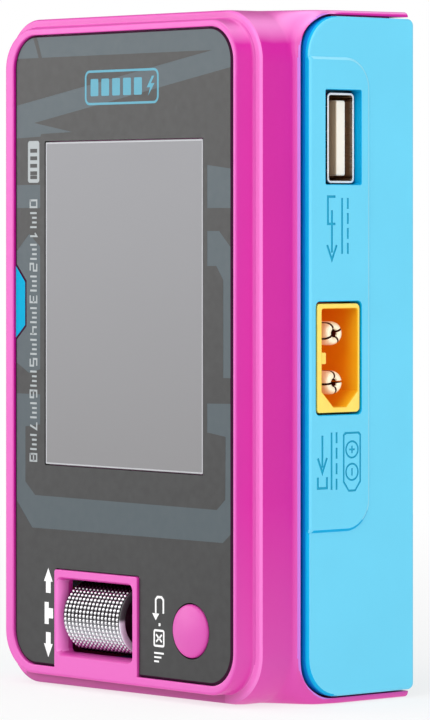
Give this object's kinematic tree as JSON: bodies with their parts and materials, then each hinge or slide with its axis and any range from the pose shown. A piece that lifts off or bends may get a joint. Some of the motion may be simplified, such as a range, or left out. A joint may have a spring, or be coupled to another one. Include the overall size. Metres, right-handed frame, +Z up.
{
  "type": "balance battery charger",
  "caption": "Hand-held balance charger: two-tone plastic case with colour display, push scroll wheel, exit button, USB and DC input, two DC outputs with balance sockets, rear fan.",
  "frame": {"origin": "middle of the flat bottom end that the charger stands on, halfway between the front rim plane and the back face", "axes": "+Z up along the charger's length, -Y towards the user (display side), +X towards the USB and DC input side"},
  "size_m": [0.0604, 0.0329, 0.1022],
  "materials": {
    "magenta_shell": "satin moulded",
    "blue_shell": "satin moulded",
    "overlay": "printed film, satin",
    "window": "clear",
    "lcd": "grey, switched off",
    "tray": "white moulded",
    "ribbon": "polyimide film",
    "board": "solder mask",
    "black_part": "moulded",
    "plated_steel": "nickel plated",
    "screw_steel": "zinc plated",
    "aluminium": "knurled and turned",
    "fin_aluminium": "extruded",
    "gold_contact": "gold plated",
    "yellow_nylon": "moulded",
    "ivory": "moulded",
    "white_nylon": "moulded",
    "ferrite": "pressed powder core",
    "can": "capacitor can",
    "winding": "copper winding, averaged",
    "rubber": "matt"
  },
  "bodies": {
    "housing": {"front_shell": "magenta_shell", "rear_shell": "blue_shell", "front_panel": "overlay", "display_window": "window", "lcd_panel": "lcd", "lcd_frame": "tray", "lcd_ribbon": "ribbon", "display_board": "board", "main_board": "board", "control_board": "board", "board_header": "black_part", "microcontroller": "black_part", "usb_shell": "plated_steel", "usb_tongue": "ivory", "input_connector": "yellow_nylon", "input_pin_pos": "gold_contact", "input_pin_neg": "gold_contact", "output_connector_1": "yellow_nylon", "output_connector_2": "yellow_nylon", "output_socket_1_pos": "gold_contact", "output_socket_1_neg": "gold_contact", "output_socket_2_pos": "gold_contact", "output_socket_2_neg": "gold_contact", "balance_socket_1": "white_nylon", "balance_socket_2": "white_nylon", "balance_pins_1": "gold_contact", "balance_pins_2": "gold_contact", "inductor_1": "ferrite", "inductor_2": "ferrite", "capacitor_1": "can", "capacitor_2": "can", "capacitor_3": "can", "heatsink": "fin_aluminium", "buzzer": "black_part", "fan_frame": "black_part", "fan_stator": "winding", "fan_screw_1": "screw_steel", "fan_screw_2": "screw_steel", "fan_screw_3": "screw_steel", "fan_screw_4": "screw_steel", "case_screw_1": "screw_steel", "case_screw_2": "screw_steel", "case_screw_3": "screw_steel", "case_screw_4": "screw_steel", "foot_1": "rubber", "foot_2": "rubber", "foot_3": "rubber", "foot_4": "rubber", "wheel_switch_body": "black_part", "exit_switch_body": "black_part"},
    "wheel_carriage": {"wheel_cradle": "black_part", "encoder_body": "black_part"},
    "scroll_wheel": {"wheel_sleeve": "aluminium", "wheel_hub": "black_part", "wheel_axle": "screw_steel"},
    "wheel_switch_plunger": {"wheel_switch_stem": "white_nylon"},
    "exit_key": {"exit_button": "magenta_shell"},
    "exit_switch_plunger": {"exit_switch_stem": "white_nylon"},
    "fan_rotor": {"fan_impeller": "black_part", "fan_shaft": "screw_steel"}
  },
  "joints": [
    {"name": "wheel_press", "type": "slide", "parent": "housing", "child": "wheel_carriage", "axis": [0, 1, 0], "range_m": [0, 0.0005]},
    {"name": "wheel_spin", "type": "hinge", "parent": "wheel_carriage", "child": "scroll_wheel", "pos_m": [-0.0066, -0.0108, 0.011], "axis": [1, 0, 0], "continuous": true},
    {"name": "wheel_switch_press", "type": "slide", "parent": "housing", "child": "wheel_switch_plunger", "axis": [0, 1, 0], "range_m": [0, 0.00025]},
    {"name": "exit_press", "type": "slide", "parent": "housing", "child": "exit_key", "axis": [0, 1, 0], "range_m": [0, 0.0005]},
    {"name": "exit_switch_press", "type": "slide", "parent": "housing", "child": "exit_switch_plunger", "axis": [0, 1, 0], "range_m": [0, 0.00025]},
    {"name": "fan_spin", "type": "hinge", "parent": "housing", "child": "fan_rotor", "pos_m": [0, 0.0102, 0.0511], "axis": [0, 1, 0], "continuous": true}
  ],
  "couplings": [
    {"joint": "wheel_switch_press", "follows": "wheel_press", "ratio": 0.5},
    {"joint": "exit_switch_press", "follows": "exit_press", "ratio": 0.5}
  ]
}
